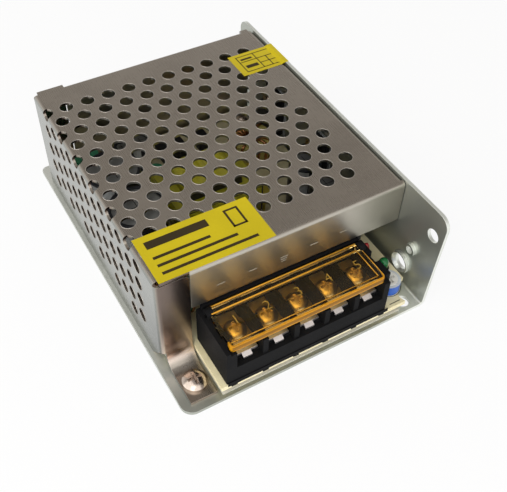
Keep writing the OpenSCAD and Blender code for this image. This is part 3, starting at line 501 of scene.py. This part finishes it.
def grid_faces(rows, columns, close_rows, close_columns, offset=0):
    """Quads of a rows x columns grid of points, closed round either way if asked."""
    r = np.arange(rows if close_rows else rows - 1)
    c = np.arange(columns if close_columns else columns - 1)
    r0, c0 = (a.ravel() for a in np.meshgrid(r, c, indexing="ij"))
    r1, c1 = (r0 + 1) % rows, (c0 + 1) % columns
    return offset + np.stack([r0 * columns + c0, r0 * columns + c1,
                              r1 * columns + c1, r1 * columns + c0], axis=1)


def add_piece(name, points, faces, look, body, smooth=True):
    """A mesh from arrays of points (n, 3) and faces (m, 4 or 3), riding on a body."""
    mesh = bpy.data.meshes.new(name)
    faces = faces if isinstance(faces, list) else faces.tolist()
    mesh.from_pydata(np.asarray(points, float).tolist(), [], faces)
    mesh.polygons.foreach_set("use_smooth", np.full(len(mesh.polygons), smooth))
    mesh.materials.append(LOOKS[look])
    mesh.update()
    piece = bpy.data.objects.new(name, mesh)
    bpy.context.scene.collection.objects.link(piece)
    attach(piece, body)
    return piece


def rings(name, centres, across, up, radius, wire, look, body, turns=20):
    """Thin rings, one for each centre.

    A point is centre + (radius + wire cos q)(cos t across + sin t up) + wire sin q normal,
    with t round the ring and q round the wire.
    """
    t = np.linspace(0, 2 * np.pi, turns, endpoint=False)
    q = np.linspace(0, 2 * np.pi, RING_SIDES, endpoint=False)
    normal = np.cross(across, up)
    reach = radius + wire * np.cos(q)
    out = np.cos(t)[:, None] * np.asarray(across) + np.sin(t)[:, None] * np.asarray(up)
    ring = out[:, None, :] * reach[None, :, None] + (wire * np.sin(q))[None, :, None] * normal
    ring = ring.reshape(-1, 3)
    points = (np.asarray(centres)[:, None, :] + ring[None]).reshape(-1, 3)
    one = grid_faces(turns, RING_SIDES, True, True)
    faces = (one[None] + (np.arange(len(centres)) * len(ring))[:, None, None]).reshape(-1, 4)
    return add_piece(name, points, faces[:, ::-1], look, body)


def tube(path, radius, lean):
    """Points and faces of a round tube along a path (n, 3).

    Each section is a circle across the path's direction, started from the cross product of
    the direction and a lean vector; a flat cap closes each end.
    """
    path = np.asarray(path, float)
    along = np.gradient(path, axis=0)
    along /= np.linalg.norm(along, axis=1)[:, None]
    side = np.cross(along, np.broadcast_to(lean, path.shape))
    side /= np.linalg.norm(side, axis=1)[:, None]
    other = np.cross(along, side)
    q = np.linspace(0, 2 * np.pi, WIRE_SIDES, endpoint=False)
    circle = np.cos(q)[None, :, None] * side[:, None] + np.sin(q)[None, :, None] * other[:, None]
    points = (path[:, None] + radius * circle).reshape(-1, 3)
    faces = grid_faces(len(path), WIRE_SIDES, False, True)[:, ::-1].tolist()
    first, last = range(WIRE_SIDES), range(len(points) - WIRE_SIDES, len(points))
    return points, faces + [list(first), list(last)[::-1]]


def wires(name, paths, radius, lean, look, body):
    """One mesh of round wires, one for each path; lean is as in tube, or one for each path."""
    points, faces, count = [], [], 0
    leans = lean if isinstance(lean, list) else [lean] * len(paths)
    for path, way in zip(paths, leans):
        ring, quads = tube(path, radius, way)
        points.append(ring)
        faces += [[count + corner for corner in face] for face in quads]
        count += len(ring)
    return add_piece(name, np.concatenate(points), faces, look, body)


def fields(name, areas, across, up, look, body, lift=0.03 * MM):
    """Thin printed or raised fields on a plane, each given as (corner, width, height).

    A field's points are corner + (0 or width) across + (0 or height) up + (0 or lift) normal.
    """
    across, up = np.asarray(across, float), np.asarray(up, float)
    corner = np.array([area[0] for area in areas], float)
    width = np.array([[area[1]] for area in areas]) * across
    height = np.array([[area[2]] for area in areas]) * up
    low = np.stack([corner, corner + width, corner + width + height, corner + height], axis=1)
    points = np.concatenate([low, low + lift * np.cross(across, up)], axis=1)
    box = np.array([[3, 2, 1, 0], [4, 5, 6, 7], [0, 1, 5, 4], [1, 2, 6, 5], [2, 3, 7, 6],
                    [3, 0, 4, 7]])
    faces = box[None] + 8 * np.arange(len(areas))[:, None, None]
    return add_piece(name, points.reshape(-1, 3), faces.reshape(-1, 4), look, body,
                     smooth=False)


def swept(name, path, outward, profile, look, body):
    """A closed profile carried along a path in plan.

    A point is path + a outward, at height b, for each (a, b) of the profile.
    """
    path, outward, profile = (np.asarray(values, float) for values in (path, outward, profile))
    flat = path[:, None] + outward[:, None] * profile[None, :, :1]
    high = np.broadcast_to(profile[None, :, 1:], flat.shape[:2] + (1,))
    points = np.concatenate([flat, high], axis=2).reshape(-1, 3)
    sides, last = len(profile), (len(path) - 1) * len(profile)
    faces = grid_faces(len(path), sides, False, True).tolist()
    faces += [list(range(sides))[::-1], list(range(last, last + sides))]
    return add_piece(name, points, faces, look, body)


def turned(name, centres, profile, look, body):
    """Surfaces of revolution about upright axes, from one (radius, height) profile for each.

    A point is centre + radius (cos t, sin t), raised by height; the first profile point lies
    on the axis, and the rest run outwards.
    """
    t = np.linspace(0, 2 * np.pi, ROUND_TURNS, endpoint=False)
    points, faces, count = [], [], 0
    for centre, line in zip(centres, profile):
        line = np.asarray(line, float)
        ring = np.stack([line[1:, 0, None] * np.cos(t), line[1:, 0, None] * np.sin(t),
                         np.repeat(line[1:, 1:], ROUND_TURNS, axis=1)], axis=2).reshape(-1, 3)
        own = np.concatenate([[[0, 0, line[0, 1]]], ring]) + np.asarray(centre)
        fan = [[0, 1 + k, 1 + (k + 1) % ROUND_TURNS] for k in range(ROUND_TURNS)]
        quads = grid_faces(len(line) - 1, ROUND_TURNS, False, True, 1)[:, ::-1].tolist()
        points.append(own)
        faces += [[count + corner for corner in face] for face in fan + quads]
        count += len(own)
    return add_piece(name, np.concatenate(points), faces, look, body)


# ---------- holes of the cover ----------

def hole_rims():
    """Rolled rims round the punched holes, on the same staggered rows as the sheet."""
    row_pitch = HOLE_PITCH * math.sqrt(3) / 2
    length = COVER_B - COVER_F
    rows = int((length - 2 * END_MARGIN) / row_pitch) + 1
    first = COVER_F + (length - (rows - 1) * row_pitch) / 2
    side_h = COVER_TOP - BASE_T
    top, side = [], []
    for row in range(rows):
        start = 0.5 if row % 2 == 0 else 1.0
        y = first + row * row_pitch
        for i in range(int((COVER_R - COVER_L - WALL_MARGIN) / HOLE_PITCH - start) + 1):
            top.append((COVER_L + (start + i) * HOLE_PITCH, y, COVER_TOP))
        for i in range(int((side_h - SIDE_MARGIN) / HOLE_PITCH - start) + 1):
            side.append((COVER_L, y, COVER_TOP - (start + i) * HOLE_PITCH))
    radius = HOLE_D / 2 + 0.4 * RIM_WIRE
    for name, centres, across in (("hole_rims_top", top, RIGHT),
                                  ("hole_rims_side", side, UP)):
        rings(name, centres, across, BACK, radius, RIM_WIRE, "rim", "case")


# ---------- lid ----------

LID_L = LID_LO.x + LID_TAB
LID_R = LID_L + LID_W
LID_F, LID_B, LID_TOP = LID_LO.y, LID_HI.y, LID_HI.z


def lid_lines():
    """Raised lines with a painted glow: both sides of the hinge groove, the front line, the right
    border.
    """
    left, right, edge = LID_L + 0.6 * MM, LID_R - LID_BORDER, LID_R - 0.14 * MM
    rear, ridge, front = LID_B - 0.5 * MM, LID_B - LID_RIDGE, LID_F + LID_FRONT_LINE
    thick = [((LID_L + 1.7 * MM, rear), (LID_R - 0.7 * MM, rear)),
             ((left, ridge), (right, ridge))]
    thin = [((right, ridge), (right, front)), ((edge, LID_B - 3.6 * MM), (edge, LID_F + MM)),
            ((left, front), (right, front))]
    for name, lines, radius in (("lid_lines", thick, 0.22 * MM), ("lid_borders", thin, 0.13 * MM)):
        paths = [[(*end, LID_TOP - 0.06 * MM) for end in line] for line in lines]
        wires(name, paths, radius, UP, "amber_line_painted_glow", "lid")


def lid_rim():
    """Front rim with a painted glow, turning round both front corners.

    The path is a straight front with a quarter circle at each end.
    """
    r = RIM_TURN
    turn = np.linspace(0, math.pi / 2, 8)
    right = np.stack([np.cos(-turn), np.sin(-turn)], axis=1)
    left = np.stack([-np.cos(turn[::-1]), -np.sin(turn[::-1])], axis=1)
    outward = np.concatenate([right[:1], right, left, left[-1:]])
    centre = np.concatenate([[[LID_R - r, LID_F + 2 * r]], np.tile([LID_R - r, LID_F + r], (8, 1)),
                             np.tile([LID_L + r, LID_F + r], (8, 1)),
                             [[LID_L + r, LID_F + 2 * r]]])
    low, high = LID_LO.z + LID_LIP_GAP, LID_TOP
    profile = [(0.02 * MM, low), (RIM_PROUD, low + 0.2 * MM), (RIM_PROUD, high - 0.15 * MM),
               (-0.08 * MM, high + 0.04 * MM), (-RIM_DEPTH, high + 0.04 * MM),
               (-RIM_DEPTH, high - 0.06 * MM), (-0.10 * MM, high - 0.12 * MM),
               (-0.10 * MM, low + 0.02 * MM)]
    swept("lid_front_rim", centre + r * outward, outward, profile[::-1], "amber_rim_painted_glow", "lid")


def lid_digits():
    """Raised numbers 1 to 5 with a painted glow, one over each screw, in the built-in font."""
    for i in range(1, WAYS + 1):
        curve = bpy.data.curves.new(f"digit_{i}", "FONT")
        curve.body = str(i)
        curve.size = DIGIT_SIZE
        curve.extrude = 0.05 * MM
        curve.offset = -0.09 * MM
        curve.align_x = "CENTER"
        text = bpy.data.objects.new(f"digit_curve_{i}", curve)
        bpy.context.scene.collection.objects.link(text)
        bpy.context.view_layer.update()
        mesh = bpy.data.meshes.new_from_object(
            text.evaluated_get(bpy.context.evaluated_depsgraph_get()))
        bpy.data.objects.remove(text)
        place = (bay_x(i), LID_F + DIGIT_BACK, LID_TOP - LID_RELIEF + 0.06 * MM)
        mesh.transform(Matrix.Translation(place))
        mesh.materials.clear()
        mesh.materials.append(LOOKS["amber_digit_painted_glow"])
        piece = bpy.data.objects.new(f"lid_digit_{i}", mesh)
        bpy.context.scene.collection.objects.link(piece)
        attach(piece, "lid")


# ---------- labels and marks ----------

def front_label_print():
    """A plain form: a heavy bar, an empty box and three ruled lines."""
    lo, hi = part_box("front_label")
    x, y, z = lo.x, lo.y, hi.z
    ink = [((x + 2.2 * MM, y + 11.2 * MM, z), 17.5 * MM, 2.6 * MM)]
    for row, length in enumerate((27.0, 22.5, 16.0)):
        ink.append(((x + 2.2 * MM, y + (2.0 + 2.7 * row) * MM, z), length * MM, 0.9 * MM))
    left, low, wide, high, line = x + 25.0 * MM, y + 7.6 * MM, 4.2 * MM, 6.0 * MM, 0.6 * MM
    ink += [((left, low, z), wide, line), ((left, low + high, z), wide, line),
            ((left, low, z), line, high), ((left + wide - line, low, z), line, high)]
    fields("front_label_print", ink, RIGHT, BACK, "ink", "case")


def date_label_print():
    """A ruled table with plain bars in its wide cells."""
    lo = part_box("date_label")[0]
    left, y, z = lo.x + 2.0 * MM, lo.y, COVER_TOP + 0.1 * MM
    long, line = 12.2 * MM, 0.28 * MM
    rows = [((left, y + step * MM, z), long, line) for step in (1.2, 9.4)]
    rows += [((left, y + 6.4 * MM, z), long, line),
             ((left + 6.0 * MM, y + 3.8 * MM, z), long - 6.0 * MM, line)]
    posts = [((left + step * MM, y + 1.2 * MM, z), line, 8.2 * MM) for step in (0.0, 6.0)]
    posts += [((left + 9.2 * MM, y + 1.2 * MM, z), line, 5.2 * MM)]
    bars = [((left + 1.0 * MM, y + 3.0 * MM, z), 4.2 * MM, 1.5 * MM),
            ((left + 1.0 * MM, y + 7.4 * MM, z), 4.0 * MM, 0.8 * MM)]
    fields("date_label_print", rows + posts + bars, RIGHT, BACK, "ink", "case")


def flange_marks():
    """Short pressed dashes above the terminals, three under each other at the middle one."""
    y = COVER_F
    marks = []
    for i in range(1, WAYS + 1):
        for drop in ((0.0, 0.8, 1.6) if i == 3 else (0.0,)):
            half = 1.2 * MM - drop * 0.3 * MM
            marks.append(((bay_x(i) - half, y, MARK_Z - drop * MM), 2 * half, 0.22 * MM))
    fields("flange_marks", marks, RIGHT, UP, "mark", "case", lift=0.02 * MM)


def board_print():
    """Printed outlines and dashes on the board, right of the terminal block."""
    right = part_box("terminal_block")[1].x
    trimmer_lo, trimmer_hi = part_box("trimmer_body")
    mid = (trimmer_lo + trimmer_hi) / 2
    z = BOARD_TOP
    rings("trimmer_outline", [(mid.x, mid.y, z)], RIGHT, BACK,
          (trimmer_hi.x - trimmer_lo.x) / 2 + 0.35 * MM, 0.10 * MM, "board_ink", "case",
          turns=40)
    back = trimmer_hi.y
    dashes = [((right + 1.6 * MM, back + 1.2 * MM, z), 0.35 * MM, 2.6 * MM),
              ((right + 1.6 * MM, back + 1.2 * MM, z), 1.5 * MM, 0.35 * MM),
              ((right + 3.8 * MM, back + 1.6 * MM, z), 0.35 * MM, 1.9 * MM),
              ((right + 3.8 * MM, back + 3.2 * MM, z), 1.3 * MM, 0.35 * MM),
              ((right + 2.0 * MM, back + 5.0 * MM, z), 2.4 * MM, 0.35 * MM),
              ((right + 6.2 * MM, back + 3.8 * MM, z), 0.9 * MM, 0.5 * MM),
              ((right + 1.2 * MM, trimmer_lo.y - 2.4 * MM, z), 3.6 * MM, 0.25 * MM)]
    fields("board_dashes", dashes, RIGHT, BACK, "board_ink", "case")


def red_lead():
    """A sleeved lead that arches over the board, from foot to foot.

    A point is foot + share of the span, raised by height times the fourth root of
    sin(share pi), which is a hoop with upright legs.
    """
    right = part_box("terminal_block")[1].x
    share = (1 - np.cos(np.linspace(0, np.pi, 28))) / 2
    arch = np.power(np.clip(np.sin(share * np.pi), 0, None), 0.25)
    path = np.stack([right + (0.9 + 3.6 * share) * MM, COVER_F + (0.2 + 1.4 * share) * MM,
                     BOARD_TOP + LEAD_HEIGHT * arch], axis=1)
    wires("red_lead", [path], LEAD_WIRE, (0.4, -1, 0), "red", "case")


def block_skirt():
    """Lip of the terminal block over the upper edge of the board, with a tab under each wall."""
    lo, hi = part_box("terminal_block")
    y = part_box("circuit_board")[0].y
    strip = [((lo.x + 0.3 * MM, y, BOARD_TOP - 0.65 * MM), hi.x - lo.x - 0.6 * MM, 1.45 * MM)]
    for i in range(WAYS + 1):
        middle = bay_x(1) + (i - 0.5) * (bay_x(WAYS) - bay_x(1)) / (WAYS - 1)
        strip.append(((middle - 0.9 * MM, y, BOARD_TOP - 1.25 * MM), 1.8 * MM, 0.7 * MM))
    fields("block_skirt", strip, RIGHT, UP, "black", "case", lift=0.12 * MM)


# ---------- components ----------

def can_spots():
    """(x, y, height of the top, diameter) of each can."""
    spots = []
    for node, count in (("bulk_capacitors", 2), ("output_capacitors", 3)):
        lo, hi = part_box(node)
        wide = hi.x - lo.x
        for k in range(count):
            y = lo.y + wide / 2 + k * (hi.y - lo.y - wide) / (count - 1)
            spots.append(((lo.x + hi.x) / 2, y, hi.z, wide))
    lo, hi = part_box("small_capacitors")
    low, mid, wide = 5.0 * MM, 6.3 * MM, 8.0 * MM
    spots += [(hi.x - wide / 2, lo.y + wide / 2, hi.z, wide),
              (lo.x + low / 2, hi.y - mid / 2, hi.z - MM, low),
              (lo.x + low / 2 + mid, hi.y - mid / 2, hi.z - MM, mid)]
    return spots


def can_tops():
    """Aluminium tops with a shallow dish, and the cross of the vent on them."""
    centres, lines, cross = [], [], []
    for x, y, top, wide in can_spots():
        reach = wide / 2 - 0.84 * MM
        floor_z = top - 0.4 * MM
        radius = np.array([0, 0.3, 0.6, 0.85, 1.0]) * reach
        height = np.array([0.10, 0.10, 0.12, 0.18, 0.03]) * MM
        centres.append((x, y, floor_z))
        lines.append(np.stack([radius, height], axis=1))
        arm, width = 0.55 * reach, 0.16 * MM
        cross.append(((x - arm, y - width / 2, floor_z + 0.12 * MM), 2 * arm, width))
        cross.append(((x - width / 2, y - arm, floor_z + 0.12 * MM), width, 2 * arm))
    turned("can_tops", centres, lines, "can_top", "case")
    fields("can_vents", cross, RIGHT, BACK, "package", "case", lift=0.02 * MM)


def can_stripes():
    """Pale band down each sleeve, over an arc.

    A point is the can's centre + radius (cos t, sin t), at height z.
    """
    t = np.linspace(*(math.radians(angle) for angle in STRIPE_ARC), 8)
    points, faces, count = [], [], 0
    for x, y, top, wide in can_spots():
        z = np.array([BOARD_TOP + 3.2 * MM, top - 0.6 * MM])
        for radius in (wide / 2 - 0.05 * MM, wide / 2 + 0.04 * MM):
            tt, zz = np.meshgrid(t, z)
            points.append(np.stack([x + radius * np.cos(tt), y + radius * np.sin(tt), zz],
                                   axis=2).reshape(-1, 3))
            quads = grid_faces(2, len(t), False, False, count)
            faces.append(quads if radius > wide / 2 else quads[:, ::-1])
            count += 2 * len(t)
    add_piece("can_stripes", np.concatenate(points), np.concatenate(faces), "stripe", "case")


def wound_coil(name, core, winding, section, starts, turns, arc):
    """Wire wound on a ring core, from each start angle over an arc.

    With q running once round the section for each turn, a point is centre +
    (middle radius + w(q)) (cos a, sin a) + h(q) up, where w and h are a rounded rectangle:
    half size times the signed root of cos q and sin q. The ring angle a grows evenly with q.
    """
    lo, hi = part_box(core)
    centre = (lo + hi) / 2
    middle = (hi.x - lo.x) / 2 - section / 2
    half_w = section / 2 + COIL_WIRE
    half_h = (hi.z - lo.z) / 2 + COIL_WIRE
    q = np.linspace(0, 2 * np.pi * turns, 20 * turns + 1)
    w = half_w * np.sign(np.cos(q)) * np.sqrt(np.abs(np.cos(q)))
    h = half_h * np.sign(np.sin(q)) * np.sqrt(np.abs(np.sin(q)))
    paths, leans = [], []
    for start in starts:
        a = math.radians(start) + math.radians(arc) * q / q[-1]
        reach = middle + w
        paths.append(np.stack([centre.x + reach * np.cos(a), centre.y + reach * np.sin(a),
                               centre.z + h], axis=1))
        leans.append(np.stack([-np.sin(a), np.cos(a), np.zeros_like(a)], axis=1))
    coil = wires(name, paths, COIL_WIRE, leans, "copper", "case")
    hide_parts(winding)


def core_wrap():
    """Tape round the outside of the transformer's core, with rounded corners."""
    lo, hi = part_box("transformer_core")
    r, proud = WRAP_TURN, WRAP_PROUD
    turn = np.linspace(0, math.pi / 2, 6)
    outward, path = [], []
    for k, (x, y) in enumerate(((hi.x, hi.y), (lo.x, hi.y), (lo.x, lo.y), (hi.x, lo.y))):
        angle = turn + k * math.pi / 2
        way = np.stack([np.cos(angle), np.sin(angle)], axis=1)
        inner = np.array([x, y]) - r * np.sign(way.mean(axis=0))
        outward.append(way)
        path.append(inner + r * way)
    outward, path = (np.concatenate(parts + [parts[0][:1]]) for parts in (outward, path))
    low, high = lo.z + 0.3 * MM, hi.z - 0.3 * MM
    swept("core_wrap", path, outward, [(0, low), (proud, low + proud), (proud, high - proud),
                                       (0, high)][::-1], "tape", "case")


# ---------- floor, light and camera ----------

def shader_node(tree, kind, *inputs, **values):
    """The outputs of a new shader node; each input is a socket to link or a value to set."""
    node = tree.nodes.new("ShaderNode" + kind)
    for key, value in values.items():
        setattr(node, key, value)
    for index, value in enumerate(inputs):
        if isinstance(value, bpy.types.NodeSocket):
            tree.links.new(value, node.inputs[index])
        else:
            node.inputs[index].default_value = value
    return node.outputs


def floor():
    """A wide pale floor, white to the camera and in reflections, that keeps the shadow."""
    mesh = bpy.data.meshes.new("floor")
    corners = [(x * FLOOR_HALF, y * FLOOR_HALF, 0)
               for x, y in ((-1, -1), (1, -1), (1, 1), (-1, 1))]
    mesh.from_pydata(corners, [], [(0, 1, 2, 3)])
    material = bpy.data.materials.new("floor_pale")
    material.use_nodes = True
    tree = material.node_tree
    tree.nodes.clear()
    rays = shader_node(tree, "LightPath")
    seen = shader_node(tree, "Math", rays["Is Camera Ray"], rays["Is Transmission Ray"],
                       operation="MAXIMUM")[0]
    shown = shader_node(tree, "Math", seen, rays["Is Glossy Ray"], operation="MAXIMUM")[0]
    share = shader_node(tree, "Math", shown, FLOOR_WHITE, operation="MULTIPLY")[0]
    matt = shader_node(tree, "BsdfDiffuse", (0.90, 0.90, 0.90, 1))[0]
    white = shader_node(tree, "Emission", (1, 1, 1, 1), 1.0)[0]
    shader_node(tree, "OutputMaterial", shader_node(tree, "MixShader", share, matt, white)[0])
    mesh.materials.append(material)
    plane = bpy.data.objects.new("floor", mesh)
    bpy.context.scene.collection.objects.link(plane)


def softbox(name, at, power):
    """A large square area lamp turned towards the object."""
    lamp = bpy.data.lights.new(name, "AREA")
    lamp.shape = "RECTANGLE"
    lamp.size = lamp.size_y = LAMP_SIZE
    lamp.energy = power
    box = bpy.data.objects.new(name, lamp)
    box.location = at
    box.rotation_euler = (Vector(LAMP_TARGET) - Vector(at)).to_track_quat("-Z", "Y").to_euler()
    bpy.context.scene.collection.objects.link(box)


def sky():
    """A pale cove: white at the horizon, and a warm grey ceiling in reflections."""
    world = bpy.data.worlds.new("studio")
    bpy.context.scene.world = world
    world.use_nodes = True
    tree = world.node_tree
    tree.nodes.clear()
    direction = shader_node(tree, "TexCoord")["Generated"]
    height = shader_node(tree, "SeparateXYZ", direction)["Z"]
    ceiling = tree.nodes.new("ShaderNodeValToRGB")
    tree.links.new(height, ceiling.inputs[0])
    set_stops(ceiling, [(0.0, (1.0, 1.0, 1.0)), (0.30, (0.92, 0.92, 0.92)),
                        (0.62, (0.34, 0.32, 0.30)), (1.0, (0.42, 0.41, 0.40))])
    room = shader_node(tree, "Background", ceiling.outputs[0], 1.0)[0]
    white = shader_node(tree, "Background", (1, 1, 1, 1), 1.0)[0]
    seen = shader_node(tree, "LightPath")["Is Camera Ray"]
    shader_node(tree, "OutputWorld", shader_node(tree, "MixShader", seen, room, white)[0])


def camera():
    """The camera looks down from the front left, with a slight roll."""
    a, e, roll = map(math.radians, (CAMERA_AZIMUTH, CAMERA_ELEVATION, CAMERA_ROLL))
    forward = Vector((-math.sin(a) * math.cos(e), math.cos(a) * math.cos(e), -math.sin(e)))
    right = Vector((math.cos(a), math.sin(a), 0))
    up = right.cross(forward)
    level, tilt = math.cos(roll), math.sin(roll)
    axes = (level * right + tilt * up, level * up - tilt * right, -forward)
    turn = Matrix([[axis[row] for axis in axes] for row in range(3)])
    lens = bpy.data.cameras.new("camera")
    lens.sensor_width = 36
    lens.lens = CAMERA_LENS
    lens.clip_start = 0.01
    eye = bpy.data.objects.new("camera", lens)
    eye.matrix_world = Matrix.Translation(CAMERA_AT) @ turn.to_4x4()
    bpy.context.scene.collection.objects.link(eye)
    bpy.context.scene.camera = eye


camera()
sky()
floor()
softbox("lamp_left", (-0.50, -0.10, 0.42), power=3.4)
softbox("lamp_front", (-0.22, -0.62, 0.44), power=3.2)
hole_rims()
lid_lines()
lid_rim()
lid_digits()
front_label_print()
date_label_print()
flange_marks()
board_print()
red_lead()
block_skirt()
can_tops()
can_stripes()
wound_coil("choke_coils", "choke_core", "choke_windings", section=3.4 * MM,
           starts=(15, 195), turns=7, arc=150)
wound_coil("inductor_coil", "inductor_core", "inductor_winding", section=3.6 * MM,
           starts=(30,), turns=13, arc=300)
core_wrap()

bpy.context.scene.view_settings.view_transform = "Standard"
